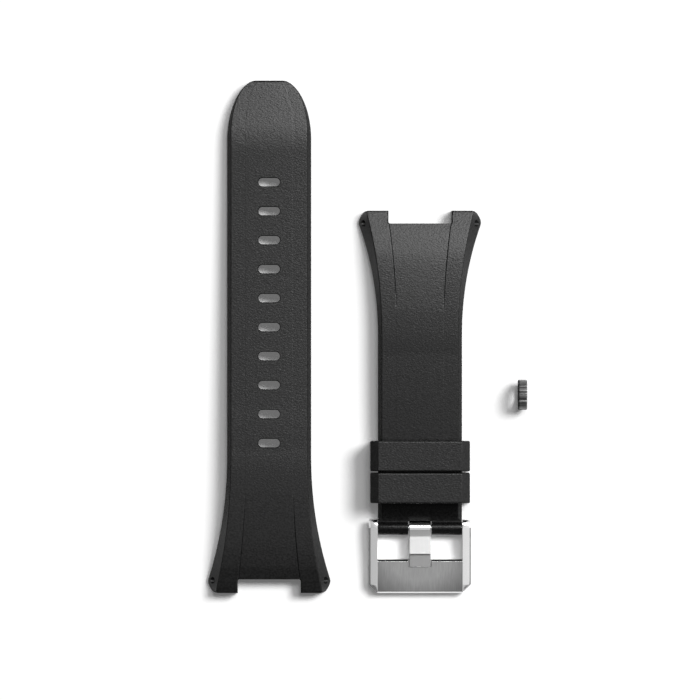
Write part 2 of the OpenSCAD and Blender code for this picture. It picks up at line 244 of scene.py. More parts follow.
def addBump(tree, height, depth, under=None):
    bump = tree.nodes.new("ShaderNodeBump")
    bump.inputs["Strength"].default_value = 1.0
    bump.inputs["Distance"].default_value = depth
    tree.links.new(height, bump.inputs["Height"])
    if under:
        tree.links.new(under.outputs["Normal"], bump.inputs["Normal"])
    return bump


rubberLook = {"dark": (0.002, 0.002, 0.002), "light": (0.0094, 0.0094, 0.0095), "gloss": 0.35,
              "rough": (0.27, 0.3), "mottle": 2200, "grain": 3400, "pebble": 2700,
              "lean": 25.0, "long": 0.8, "grainDepth": 0.000012, "pebbleDepth": 0.000021,
              "tintAt": (0.38, 0.62), "mottleDetail": 1, "grainDetail": 3, "grainRough": 0.55}


def rubberMaterial(name, tone=1.0, grain=1.0, gloss=1.0, dull=0.0, fade=None, coat=0.0):
    # leather-like pebbles from cell edges, a finer noise on top, and a fine mottling of the colour;
    # fade is (start, end, extra): places along y, in mm, between which the roughness grows by extra
    look = rubberLook
    material, tree, shader, place = newMaterial(name)
    shader.inputs["Specular IOR Level"].default_value = look["gloss"] * gloss
    shader.inputs["Coat Weight"].default_value = coat
    shader.inputs["Coat Roughness"].default_value = look["rough"][1] + dull
    mottle = addNoise(tree, place, look["mottle"], look["mottleDetail"])
    shades = [tuple(c * tone for c in look[k]) for k in ("dark", "light")]
    tint = addRamp(tree, mottle.outputs["Fac"], look["tintAt"], shades)
    fine = addNoise(tree, place, look["grain"], look["grainDetail"], roughness=look["grainRough"])
    tree.links.new(tint.outputs["Color"], shader.inputs["Base Color"])
    rough = addRange(tree, fine.outputs["Fac"], *(r + dull for r in look["rough"]))
    tree.links.new(rough.outputs["Result"], shader.inputs["Roughness"])
    if fade:
        split = tree.nodes.new("ShaderNodeSeparateXYZ")
        tree.links.new(place.outputs["Object"], split.inputs[0])
        more = addSpan(tree, split.outputs["Y"], fade[0] * mm, fade[1] * mm, 0, fade[2])
        whole = addMath(tree, "ADD", rough.outputs["Result"], more.outputs["Result"])
        tree.links.new(whole.outputs[0], shader.inputs["Roughness"])
    cells = tree.nodes.new("ShaderNodeTexVoronoi")
    cells.feature = "SMOOTH_F1"
    cells.inputs["Scale"].default_value = look["pebble"]
    turned = tree.nodes.new("ShaderNodeMapping")
    turned.inputs["Rotation"].default_value = (0, 0, math.radians(look["lean"]))
    turned.inputs["Scale"].default_value = (look["long"], 1 / look["long"], 1)
    tree.links.new(place.outputs["Object"], turned.inputs["Vector"])
    tree.links.new(turned.outputs["Vector"], cells.inputs["Vector"])
    pebble = addBump(tree, cells.outputs["Distance"], look["pebbleDepth"] * grain)
    skin = addBump(tree, fine.outputs["Fac"], look["grainDepth"] * grain, under=pebble)
    tree.links.new(skin.outputs["Normal"], shader.inputs["Normal"])
    return material


steelLook = {"tintAt": (0.3, 0.7), "markDetail": 4, "markRough": 0.65, "shadeTall": 1.4}


def steelMaterial(name, grey, rough, brush=(1, 1, 1), scale=900, depth=0.00001, wear=0.02,
                  blue=0.0, shadeFalloff=None):
    # brush marks are a noise that is stretched along the brushing; the last argument paints shade,
    # (x, y, near, far, tone) in mm: the colour falls to that tone between two distances from a
    # place
    look = steelLook
    material, tree, shader, place = newMaterial(name, metallic=1.0)
    marks = addNoise(tree, place, scale, look["markDetail"], stretch=brush,
                     roughness=look["markRough"])
    shades = [tuple(c * k for c in (grey, grey, grey + blue)) for k in (1 - wear, 1 + wear)]
    tint = addRamp(tree, marks.outputs["Fac"], look["tintAt"], shades)
    tree.links.new(tint.outputs["Color"], shader.inputs["Base Color"])
    if shadeFalloff:
        # painted shade: the colour darkens with the distance from a place
        tall = look["shadeTall"]
        middle = tree.nodes.new("ShaderNodeMapping")
        middle.inputs["Location"].default_value = (-shadeFalloff[0] * mm, -tall * shadeFalloff[1] * mm, 0)
        middle.inputs["Scale"].default_value = (1, tall, 0)
        away = tree.nodes.new("ShaderNodeVectorMath")
        away.operation = "LENGTH"
        tree.links.new(place.outputs["Object"], middle.inputs["Vector"])
        tree.links.new(middle.outputs["Vector"], away.inputs[0])
        tone = addSpan(tree, away.outputs["Value"], shadeFalloff[2] * mm, shadeFalloff[3] * mm, 1, shadeFalloff[4])
        shade = tree.nodes.new("ShaderNodeVectorMath")
        shade.operation = "SCALE"
        tree.links.new(tint.outputs["Color"], shade.inputs[0])
        tree.links.new(tone.outputs["Result"], shade.inputs["Scale"])
        tree.links.new(shade.outputs["Vector"], shader.inputs["Base Color"])
    gloss = addRange(tree, marks.outputs["Fac"], *rough)
    tree.links.new(gloss.outputs["Result"], shader.inputs["Roughness"])
    bump = addBump(tree, marks.outputs["Fac"], depth)
    tree.links.new(bump.outputs["Normal"], shader.inputs["Normal"])
    return material


# the steep faces are smoother and duller than the top
sideFinish = {"grain": 0.7, "gloss": 0.65, "dull": 0.22}
strapRubber = rubberMaterial("strapRubber")
sideRubber = rubberMaterial("sideRubber", **sideFinish)
tailSide = rubberMaterial("tailSide", fade=(-46, -33, 0.28), **sideFinish)
headSide = rubberMaterial("headSide", fade=(15, 2, 0.28), **sideFinish)
wallRubber = rubberMaterial("wallRubber", grain=0.7, gloss=0.6, dull=0.5)
# the neck's rubber: a darker colour as painted shade, where the loops shade the neck and the bead
neckShadeRubber = rubberMaterial("neckShadeRubber", tone=0.6, grain=0.8, gloss=0.6, dull=-0.01)
loopRubber = rubberMaterial("loopRubber", tone=1.05, grain=1.3)
coverRubber = rubberMaterial("coverRubber", tone=1.5, grain=0.2, gloss=2.85, dull=0.08, coat=1.0)

brushes = {"fine": (1, 0.03, 1), "soft": (1, 0.05, 1), "turned": (0.1, 1, 1)}
polishedSteel = steelMaterial("polishedSteel", 0.95, (0.1, 0.15), scale=120)
# painted shade: the front bar's top darkens towards its low corners, for the darker reflections
# there
brushedSteel = steelMaterial("brushedSteel", 0.36, (0.34, 0.42), brushes["fine"], scale=3500,
                             wear=0.1, shadeFalloff=(layout["buckleX"], layout["barY"] - 7.5, 7, 13.5, 0.5))
# a dark steel as painted shade for the arms' slanted edges, which reflect the shaded floor
slantShadeSteel = steelMaterial("slantShadeSteel", 0.18, (0.3, 0.36), brushes["soft"], scale=2500)
tongueSteel = steelMaterial("tongueSteel", 0.26, (0.34, 0.38), brushes["soft"], scale=2500)
barSteel = steelMaterial("barSteel", 0.7, (0.25, 0.35), brushes["turned"], scale=3000, blue=0.01)
bushSteel = steelMaterial("bushSteel", 0.3, (0.3, 0.4), brushes["turned"], scale=3000, blue=0.01)
springSteel = steelMaterial("springSteel", 0.5, (0.25, 0.35), scale=2000, blue=0.01)
print("materials made")


# Strap halves: a section carried along the curve, with its widths, heights and panel as functions
# of the distance s from the ear ends

strap = {"width": 20.0, "flank": 0.9, "edge": 0.6, "edgeMost": 0.3, "crown": 0.04, "hollow": 0.1,
         "arch": 3.4, "crest": 34.0, "midBend": 10.0, "earWidth": 29.2, "earFlank": 2.5,
         "earTaper": 1.45, "earCurve": 1.8, "earRound": 0.6, "earThick": 4.3, "thick": 3.2,
         "rise": ((0, 0.186), (8, 0.171), (11.7, 0.109), (16.5, 0.093), (21.25, 0.0756),
                  (28.4, 0.0466)),  # slope of the arch at distances from the ear ends
         "flarePower": 2.1, "boreAt": 3.0, "boreRadius": 1.0, "boreLip": 0.8, "boreStep": 0.9,
         "notchWidth": 15.0, "notchRound": 0.5, "notchOver": 6.0, "notchLip": 0.18,
         "notchReach": 4.0, "seatRadius": 1.6, "panelGap": 0.12, "panelMost": 0.6,
         "panelDip": 0.2, "panelEnd": 5.7, "panelPower": 1.7, "panelLength": 21.0,
         "panelStep": 0.16, "dipGain": 1.4, "groove": 0.12, "grooveWide": 0.08, "grooveGain": 3.0,
         "mouth": 0.36, "endDrop": 0.12, "endSteps": 7, "endFrom": 0.9,
         "fullAt": 6, "slimAt": 13, "slimBy": 0.2, "crestOver": 0.1, "softFrom": 1.5,
         "underShape": ((0.33, 0.9), (0.66, 0.55)), "panelShape": (0.55, 0.8),
         "cuts": (0, 0, 0, 0.35, 0.35, 0.22, 0.15, 0.05, 0.04, 0, 0),
         "steps": (1, 1, 1, 5, 4, 5, 4, 3, 3, 1, 1),
         "seatShort": 0.001, "boreOverlap": 0.03, "borePast": 5}

tail = {"length": 122.0, "notchDepth": 3.25, "flare": 30.0, "tipLength": 14.0, "tipFlat": 6.6,
        "tipPower": 0.55, "tipSlope": 0.12, "tipStraight": 10.0, "tipBend": 7.0, "tipThick": 2.7,
        "tipEdge": 0.4, "tipEven": 0.999, "tipFlank": (0.05, 0.8), "endThin": 0.2,
        "holes": 10, "pitch": 6.9, "firstHole": 24.2, "holeLength": 5.15, "holeWidth": 2.0,
        "rings": 170, "tipRings": 40}

head = {"length": 75.5, "notchDepth": 3.05, "flare": 27.0, "neckThick": 2.1, "neckLength": 8.0,
        "neckFlat": 2.0, "neckZ": 1.65, "bead": 1.7, "squareFrom": 0.6, "barBore": 0.8,
        "boreChamfer": (0.12, 0.1), "borePast": 2, "slotBack": 2.9, "slotHalf": 2.8,
        "slotWeb": 0.7, "slotRound": 1.85, "slotCorner": 0.4, "slotAhead": 4, "slotTop": 8,
        "slotLow": -2.0, "endThin": 0.05, "beadShort": 0.2, "beadSkip": (0.01, 0.02),
        "levelStep": 0.01, "past": 5, "rings": 130, "beadRings": 44, "shadeFrom": 67.0}


def earCorner(s):
    # how far a quarter circle at the ear end draws the section in
    r = strap["earRound"]
    return np.where(s < r, r - np.sqrt(np.maximum(r * r - (r - np.minimum(s, r)) ** 2, 0)), 0)


def halfWidths(s, flareLength):
    # half width below and at the top face: straight part + (1 - s / flare) to a power
    near = np.clip(1 - (s - strap["boreAt"]) / flareLength, 0, None) ** strap["flarePower"]
    grow = (strap["earWidth"] - strap["width"]) / 2
    low = strap["width"] / 2 + grow * near
    left = np.clip(1 - s / strap["boreAt"], 0, 1) ** strap["earCurve"]
    ear = strap["earWidth"] / 2 - strap["earTaper"] * left - earCorner(s)
    low = np.where(s < strap["boreAt"], ear, low)
    high = (strap["width"] / 2 - strap["flank"] - earCorner(s)
            + (grow - strap["earFlank"] + strap["flank"]) * near)
    return low, high


def underside(s, line):
    # height = area under the straight-line slope, by the trapezoid rule on a fine grid
    fine = np.linspace(0, line[-1][0], 4000)
    slope = np.interp(fine, *np.array(line).T)
    height = np.concatenate([[0], np.cumsum((slope[1:] + slope[:-1]) / 2 * np.diff(fine))])
    return np.interp(s, fine, height)


def thickness(half, *rest):
    # thickness at distances from the ear ends: full behind the bore, thinner to the crest, rest
    ear = strap["earThick"]
    return np.array([(0, ear - half["endThin"]), (strap["fullAt"], ear),
                     (strap["slimAt"], ear - strap["slimBy"]),
                     (strap["crest"], strap["thick"] + strap["crestOver"]), *rest]).T


def strapSection(s, low, high, z0, z1):
    # rings of the section: hollow underside, upright edge, flank, side ridge, crease and panel
    left = np.clip(1 - np.clip(s - strap["boreAt"], 0, None) / strap["panelLength"], 0, 1)
    widest = strap["notchWidth"] / 2 + strap["panelGap"]
    panel = strap["panelEnd"] + (widest - strap["panelEnd"]) * left ** strap["panelPower"]
    panel = np.minimum(panel, strap["panelMost"] * high)
    dip = strap["panelDip"] * np.minimum(1, strap["dipGain"] * left)
    thick = z1 - z0
    small = np.minimum(1, thick / 2)
    crown, hollow = strap["crown"] * small, strap["hollow"] * small
    groove = strap["groove"] * np.minimum(1, strap["grooveGain"] * left) * small
    edge = np.minimum(strap["edge"], strap["edgeMost"] * thick)
    o, (across, up) = np.zeros_like(s), strap["panelShape"]
    corners = np.stack([np.stack(p, -1) for p in (
        (o, z0 + hollow), *((low * x, z0 + hollow * z) for x, z in strap["underShape"]),
        (low, z0), (low, z0 + edge), (high, z1), (panel + strap["panelStep"], z1 + crown / 3),
        (panel + strap["grooveWide"], z1 + crown / 2 - dip - groove),
        (panel, z1 + crown / 2 - dip),
        (panel * across, z1 + crown * up - dip), (o, z1 + crown - dip))], -2)
    soft = np.minimum(1, thick / strap["softFrom"])[:, None]
    right = roundedPath(corners, [c * soft for c in strap["cuts"]], strap["steps"])
    mirror = right[:, -2:0:-1] * (-1, 1)
    return np.concatenate([right, mirror], 1)


def strapBody(name, s, low, high, z0, z1, centreX, endY, direction):
    # the section's rings, each at its own distance along y from the ear end
    c = strap["endDrop"] * earCorner(s)
    rings = strapSection(s, low, high, z0 + c, z1 - c)
    x, n = centreX + rings[..., 0], rings.shape[1]
    y = endY + direction * np.broadcast_to(s[:, None], x.shape)
    points = np.stack([x, y, rings[..., 1]], -1)
    return makeObject(name, points, gridFaces(len(s), n, wrapCols=True), n)


def prism(name, outline, normals, levels):
    # outline (n, 2) carried through levels of (z for every point, growth along the normals)
    rings = [np.column_stack([outline + normals * grow, z]) for z, grow in levels]
    n = len(outline)
    return makeObject(name, np.concatenate(rings), gridFaces(len(rings), n, wrapCols=True), n)


def mouthLevels(top, bottom, r, reach=2.5, arc=60, past=0.15):
    # the hole's wall flares by an arc at both faces and goes on in a straight line past them, so
    # its rims come out rounded and cross the faces at a clear angle
    angles = np.radians(np.linspace(0, arc, 5))
    grow, rise = list(r * (1 - np.cos(angles))), list(r * np.sin(angles))
    face = rise[-1]
    grow.append(grow[-1] + past * math.tan(angles[-1]))
    rise.append(face + past)
    down = [(bottom + face - h, g) for h, g in zip(rise, grow)][::-1]
    up = [(top - face + h, g) for h, g in zip(rise, grow)]
    return [(bottom - reach, grow[-1])] + down + up + [(top + reach, grow[-1])]


def rod(name, profile, centre, sides=64):
    # profile of (x, radius) turned about a line along x through the centre's (y, z)
    profile = np.asarray(profile, float)
    a = np.linspace(0, 2 * math.pi, sides, endpoint=False)
    x = np.repeat(profile[:, :1], sides, 1)
    y = centre[0] + profile[:, 1:] * np.cos(a)
    z = centre[1] + profile[:, 1:] * np.sin(a)
    faces = gridFaces(len(profile), sides, wrapCols=True)
    return makeObject(name, np.stack([x, y, z], -1), faces, sides)


def twoSidedRod(name, half, centreX, centre):
    # a rod whose profile is given for its right half
    return rod(name, [(centreX - x, q) for x, q in half[::-1]]
               + [(centreX + x, q) for x, q in half], centre)


def slotOutline(length, width, centre, sides=14):
    # two half circles joined by straight sides, with outward normals
    a = np.linspace(-math.pi / 2, math.pi / 2, sides)
    turn = np.concatenate([a, a + math.pi])
    shift = np.repeat([1, -1], sides) * (length - width) / 2
    normals = np.stack([np.cos(turn), np.sin(turn)], -1)
    outline = normals * width / 2 + np.stack([shift, 0 * shift], -1) + centre
    return outline, normals


def notchOutline(centreX, endY, direction, depth):
    # rectangle open past the ear ends, with its two inner corners rounded
    w, over, r = strap["notchWidth"] / 2, strap["notchOver"], strap["notchRound"]
    corners = np.array([(-w, -over), (-w, depth), (w, depth), (w, -over)], float)
    path = roundedPath(corners, (0, r, r, 0), (1, 6, 6, 1))
    side = np.roll(path, -1, 0) - np.roll(path, 1, 0)
    side[0], side[-1] = (0, 1), (0, -1)
    normals = np.stack([-side[:, 1], side[:, 0]], -1)
    normals /= np.linalg.norm(normals, axis=1, keepdims=True)
    place = np.array([centreX, endY])
    return place + path * (1, direction), normals * (1, direction)


def earCutters(tag, centreX, endY, direction, depth, heights):
    # the notch between the ears, the round seat in its floor and the bore through both ears
    outline, normals = notchOutline(centreX, endY, direction, depth)
    bottom, top = heights(np.clip((outline[:, 1] - endY) * direction, 0, None))
    top = top + strap["crown"] - strap["panelDip"]
    notch = prism(tag + "Notch", outline, normals,
                  mouthLevels(top, bottom, strap["notchLip"], strap["notchReach"]))
    boreZ = float(np.sum(heights(np.array([strap["boreAt"]]))) / 2)
    axis = (endY + direction * strap["boreAt"], boreZ)
    w, seat = strap["notchWidth"] / 2 - strap["seatShort"], strap["seatRadius"]
    seatRod = rod(tag + "Seat", [(centreX - w, seat), (centreX + w, seat)], axis)
    # the bore is wide for the bushes and a little narrower past their ends
    out = strap["earWidth"] / 2 - strap["earFlank"] * (boreZ - strap["edge"]) / strap["earThick"]
    r, lip, step = strap["boreRadius"], strap["boreLip"], out - strap["boreStep"]
    half = [(step - strap["boreOverlap"], r), (step, lip), (out + strap["borePast"], lip)]
    return [notch, seatRod, twoSidedRod(tag + "Bore", half, centreX, axis)]


def endSteps():
    # distances of the first rings, close together where the ear end is rounded
    return strap["earRound"] * (1 - np.cos(np.linspace(0, math.pi / 2, strap["endSteps"])))


def makeTail():
    # the arch falls from its crest at an even slope, which brings the tip down to the table
    length, crest, bend = tail["length"], strap["crest"], strap["midBend"]
    straight, tipBend, tipSlope = tail["tipStraight"], tail["tipBend"], tail["tipSlope"]
    slope = (strap["arch"] - tipSlope * (straight + tipBend / 2)) \
        / (length - crest - bend / 2 - straight - tipBend / 2)
    line = [*strap["rise"], (crest, 0), (crest + bend, -slope),
            (length - straight - tipBend, -slope), (length - straight, -tipSlope),
            (length, -tipSlope)]
    thick = thickness(tail, (crest + bend, strap["thick"]))

    def heights(s):
        z0 = underside(s, line)
        t = np.interp(s, *thick)
        # the tip's top edge is a quarter ellipse: drop = depth (1 - root of (1 - past^2))
        past = np.clip((s - length + tail["tipEdge"]) / tail["tipEdge"], 0, 1)
        drop = (strap["thick"] - tail["tipThick"]) * (1 - np.sqrt(1 - past ** 2 * tail["tipEven"]))
        return z0, z0 + t - drop

    tipFrom = length - tail["tipLength"]
    s = np.concatenate([endSteps(), np.linspace(strap["endFrom"], tipFrom, tail["rings"])[:-1],
                        tipFrom + tail["tipLength"] * np.sin(
                            np.linspace(0, math.pi / 2, tail["tipRings"]))])
    low, high = halfWidths(s, tail["flare"])
    # the tip: half width = flat + (straight - flat) (1 - (1 - left)^2) to a power, where left is
    # the share of the tip's length that is still to go
    left = np.clip((length - s) / tail["tipLength"], 0, 1)
    tip = tail["tipFlat"] / 2 + (strap["width"] - tail["tipFlat"]) / 2 \
        * np.clip(1 - (1 - left) ** 2, 0, 1) ** tail["tipPower"]
    low = np.where(s > tipFrom, tip, low)
    least, power = tail["tipFlank"]
    high = np.where(s > tipFrom, tip - strap["flank"] * np.maximum(left, least) ** power, high)
    obj = strapBody("tailStrap", s, low, high, *heights(s), layout["tailX"], layout["tailEarY"], 1)

    cutters = []
    for k in range(tail["holes"]):
        at = length - tail["firstHole"] - k * tail["pitch"]
        outline, normals = slotOutline(tail["holeLength"], tail["holeWidth"],
                                       (layout["tailX"], layout["tailEarY"] + at))
        bottom, top = heights(outline[:, 1] - layout["tailEarY"])
        cutters.append(prism("hole", outline, normals,
                             mouthLevels(top + strap["crown"], bottom, strap["mouth"])))

    cutters += earCutters("tail", layout["tailX"], layout["tailEarY"], 1, tail["notchDepth"],
                          heights)
    carve(obj, cutters)
    finishPiece(obj, "long_half", "long_strap",
                [strapRubber, tailSide, wallRubber])
    dressSides(obj)


def makeHead():
    # the arch falls from its crest ever more steeply and then runs level under the neck
    length, neckAt = head["length"], head["length"] - head["neckLength"]
    level = neckAt + head["neckLength"] / 2
    slope = 2 * (strap["arch"] - head["neckZ"]) / (level - strap["crest"])
    line = [*strap["rise"], (strap["crest"], 0), (level, -slope),
            (level + head["levelStep"], 0), (length + head["past"], 0)]
    thick = thickness(head, (neckAt + head["neckFlat"], strap["thick"]),
                      (length - head["bead"] - head["beadShort"], head["neckThick"]))

    def heights(s):
        z0 = underside(s, line)
        z1 = z0 + np.interp(s, *thick)
        # the bead is a circle about the spring bar: height = bar +- root of (r^2 - distance^2)
        bow = np.sqrt(np.maximum(head["bead"] ** 2 - (s - length) ** 2, 0))
        near = np.abs(s - length) < head["bead"]
        top, low = layout["barZ"] + bow, layout["barZ"] - bow
        past = near & (s > length)
        z1 = np.where(past, top, np.where(near, np.maximum(z1, top), z1))
        z0 = np.where(past, low, np.where(near, np.minimum(z0, low), z0))
        return z0, z1

    r, (first, last) = head["bead"], head["beadSkip"]
    turn = np.linspace(first, math.pi - last, head["beadRings"])
    s = np.concatenate([endSteps(), np.linspace(strap["endFrom"], length - r, head["rings"])[:-1],
                        length - r * np.cos(turn)])
    low, high = halfWidths(s, head["flare"])
    # the slanted flank stands up where the bead's ends are square
    square = np.clip((s - length + r) / head["squareFrom"] + 1, 0, 1)
    square = square ** 2 * (3 - 2 * square)
    high = high + (low - high) * square
    obj = strapBody("headStrap", s, low, high, *heights(s),
                    layout["buckleX"], layout["buckleEarY"], -1)

    cutters = earCutters("head", layout["buckleX"], layout["buckleEarY"], -1, head["notchDepth"],
                         heights)
    x, w, bar = layout["buckleX"], strap["width"] / 2, (layout["barY"], layout["barZ"])
    q, past, (deep, wide) = head["barBore"], head["borePast"], head["boreChamfer"]
    half = [(w - deep, q), (w, q + wide), (w + past, q + wide + past)]
    cutters.append(twoSidedRod("barBore", half, x, bar))
    # the slot for the tongue: open in front, and above a web of rubber behind the bar
    h, clear, out, r = (head[k] for k in ("slotHalf", "slotRound", "slotAhead", "slotCorner"))
    webZ = head["neckZ"] + head["slotWeb"]
    for tag, reach, low in (("slotAbove", head["slotBack"], webZ),
                            ("slotFront", 0.0, head["slotLow"])):
        path = roundedPath([(-h, -out), (h, -out), (h, reach), (-h, reach)],
                           (0, 0, r, r), (1, 1, 5, 5), closed=True)
        flat = np.zeros(len(path))
        cutters.append(prism(tag, path + (x, layout["barY"]), 0 * path,
                             [(flat + low, 0), (flat + head["slotTop"], 0)]))
    cutters.append(rod("slotCurl", [(x - h, clear), (x + h, clear)], bar))
    carve(obj, cutters)
    finishPiece(obj, "short_half", "short_strap",
                [strapRubber, headSide, wallRubber, neckShadeRubber])
    # the neck and bead in front of the loops take the darker rubber: painted shade under the loops
    dressSides(obj, shadeTo=layout["buckleEarY"] - head["shadeFrom"])


makeTail()
makeHead()
print("strap halves made")


# Loops: a rounded band section carried round the loop's outline

loop = {"width": 7.2, "wall": 1.5, "insideWidth": 20.5, "insideHeight": 6.9, "insideCut": 0.5,
        "outsideWidth": 23.7, "bevel": 1.9, "bevelTall": 0.8, "foot": 0.5, "soft": 0.14,
        "insideSoft": 0.2, "insideFoot": 0.3, "edge": 0.38, "insideEdge": 0.15,
        "lowerY": -35.95, "upperY": -28.37, "sideTilt": 0.8, "roundTilt": (0.1, 0.58)}


def makeLoop(name, y, body, node):
    w, t, b = loop["outsideWidth"] / 2, loop["wall"], loop["bevel"]
    h, low = loop["insideHeight"] + 2 * t, loop["bevelTall"] * b
    iw, top, c = loop["insideWidth"] / 2, t + loop["insideHeight"], loop["insideCut"]
    outer = [(-w, 0), (w, 0), (w, h - low), (w - b, h), (-w + b, h), (-w, h - low)]
    inner = [(-iw, t), (iw, t), (iw, top - c), (iw - c, top), (-iw + c, top), (-iw, top - c)]
    ring = [roundedPath(corners, (foot,) * 2 + (soft,) * 4, (7,) * 6, closed=True)
            for corners, foot, soft in ((outer, loop["foot"], loop["soft"]),
                                        (inner, loop["insideFoot"], loop["insideSoft"]))]
    # the band's section: share of the wall outwards, and distance along the strap
    e, i, v = loop["edge"], loop["insideEdge"], loop["width"] / 2
    band = roundedPath([(0, -v), (t, -v), (t, v), (0, v)], (i, e, e, i), (3, 6, 6, 3), closed=True)
    share = (band[:, 0] / t)[None, :, None]
    xz = ring[1][:, None] * (1 - share) + ring[0][:, None] * share
    along = np.broadcast_to(y + band[:, 1], xz.shape[:2])
    points = np.stack([layout["buckleX"] + xz[..., 0], along, xz[..., 1]], -1)
    obj = makeObject(name, points, gridFaces(*points.shape[:2], wrapRows=True, wrapCols=True))
    finishPiece(obj, body, node, [loopRubber, sideRubber], sharp=60)
    # the sides and the roundings beside the bevels are duller than the top and the bevels
    flattest, steepest = loop["roundTilt"]
    for polygon in obj.data.polygons:
        tilt = abs(polygon.normal.x)
        polygon.material_index = int(tilt > loop["sideTilt"] or flattest < tilt < steepest)


makeLoop("upperKeeper", loop["upperY"], "upper_loop", "loop_upper")
makeLoop("lowerKeeper", loop["lowerY"], "lower_loop", "loop_lower")
print("loops made")


# Crown cover: a ring's section carried round the rim, drawn in where a groove is

cover = {"radius": 3.6, "width": 2.2, "bore": 2.4, "grooves": 13, "grooveRadius": 0.42,
         "grooveOut": 0.126, "grooveSteps": 24, "rimFrom": 0.5, "edge": 0.35, "boreEdge": 0.15,
         "turn": 7.0, "shadedWide": 0.3}


def makeCover():
    r, w, b = cover["radius"], cover["width"] / 2, cover["bore"]
    e, i = cover["edge"], cover["boreEdge"]
    section = roundedPath([(b, -w), (r, -w), (r, w), (b, w)], (i, e, e, i), (4, 7, 7, 4),
                          closed=True)
    section = np.concatenate([section, np.linspace(section[-1], section[0], 5)[1:-1]])
    sides = cover["grooves"] * cover["grooveSteps"]
    a = np.linspace(0, 2 * math.pi, sides, endpoint=False)
    # groove depth at a distance d from its middle: root of (q^2 - d^2) less how far out it sits
    pitch = 2 * math.pi / cover["grooves"]
    d = r * np.abs((a - math.radians(cover["turn"]) + pitch / 2) % pitch - pitch / 2)
    q, sit = cover["grooveRadius"], cover["grooveOut"]
    depth = np.maximum(np.sqrt(np.maximum(q * q - d * d, 0)) - sit, 0)
    rim = np.clip((section[:, 0] - b) / (r - b), 0, 1)
    radius = section[None, :, 0] - depth[:, None] * (rim > cover["rimFrom"]) * rim
    x = np.broadcast_to(layout["coverX"] + section[:, 1], radius.shape)
    y = layout["coverY"] + radius * np.sin(a)[:, None]
    z = r + radius * np.cos(a)[:, None]
    obj = makeObject("crownRing", np.stack([x, y, z], -1),
                     gridFaces(*radius.shape, wrapRows=True, wrapCols=True))
    finishPiece(obj, "crown_cover", "crown_cover", [coverRubber, sideRubber],
                sharp=50)
    # the face that looks to the strap is plain and dull, and its darker colour is painted shade, on
    # the side away from the light
    shadedTo = layout["coverX"] - w + cover["shadedWide"]
    for polygon in obj.data.polygons:
        polygon.material_index = int(polygon.center.x / mm < shadedTo)


makeCover()
print("crown cover made")


# Buckle: two arms, each a section carried from the spring bar to the front, and the front bar, a
# side view carried across; distances u run forwards from the spring bar and heights from its axis

buckle = {"reach": 15.5, "barIn": 7.5, "inside": 10.1, "arm": 2.05, "boss": 2.0, "square": 3.5,
          "front": 0.7, "dip": 0.25, "cut": 2.1, "slant": 0.36, "slantMost": 0.4,
          "slantDrop": 1.3, "dropMost": 0.35, "lean": 0.12, "armShort": 0.2, "backEdge": 0.5,
          "frontEdge": 0.3, "frontDrop": 0.45, "soft": 0.08, "pocketHalf": 2.8,
          "pocketZ": -0.229, "pocketTo": 9.45, "pocketRound": 0.3, "hole": 0.43,
          "holeDeep": 1.1, "holeBack": 0.3, "overlap": 0.05, "bevel": 0.05, "fieldUp": 0.95,
          "slantShort": 0.25, "slantAside": 0.6, "slantUp": (0.1, 0.5), "armTurn": 0.03,
          "armRings": (16, 12, 8), "pocketPast": (4, 8)}


def armHeights(u):
    # behind the bar a circle below, height = root of (r^2 - u^2), and a squarer curve above,
    # height = r (1 - (u / r)^n)^(1 / n); straight lines in front of it
    r, t, n = buckle["boss"], u / buckle["reach"], buckle["square"]
    part = np.minimum(np.abs(np.minimum(u, 0)) / r, 1)
    top, bow = r * (1 - part ** n) ** (1 / n), r * np.sqrt(1 - part ** 2)
    return top + np.where(u > 0, (buckle["front"] - r) * t, 0), \
        np.where(u > 0, (r - layout["barZ"]) * t, 0) - bow


def makeArm(side):
    # a five-cornered section, whose outer side moves in by as much as u passes the corner's cut
    r, reach, inside = buckle["boss"], buckle["reach"], buckle["inside"]
    cutAt, (back, middle, front) = reach - buckle["cut"], buckle["armRings"]
    u = np.concatenate([-r * np.cos(np.linspace(buckle["armTurn"], math.pi / 2, back))[:-1],
                        np.linspace(0, cutAt, middle),
                        np.linspace(cutAt, reach - buckle["armShort"], front)[1:]])
    top, low = armHeights(u)
    out = inside + buckle["arm"] - np.clip(u - cutAt, 0, None)
    slant = np.minimum(buckle["slant"], buckle["slantMost"] * (out - inside))
    drop = np.minimum(buckle["slantDrop"], buckle["dropMost"] * (top - low))
    into = 0 * u + inside
    corners = np.stack([np.stack(p, -1) for p in (
        (into, low), (out, low), (out, top - drop), (out - slant, top - buckle["lean"]),
        (into, top))], -2)
    rings = roundedPath(corners, (buckle["soft"],) * 5, (4,) * 5, closed=True)
    x = layout["buckleX"] + side * rings[..., 0]
    y = layout["barY"] - np.broadcast_to(u[:, None], x.shape)
    points = np.stack([x, y, layout["barZ"] + rings[..., 1]], -1)
    n = rings.shape[1]
    return makeObject("arm", points, gridFaces(len(u), n, wrapCols=True), n)


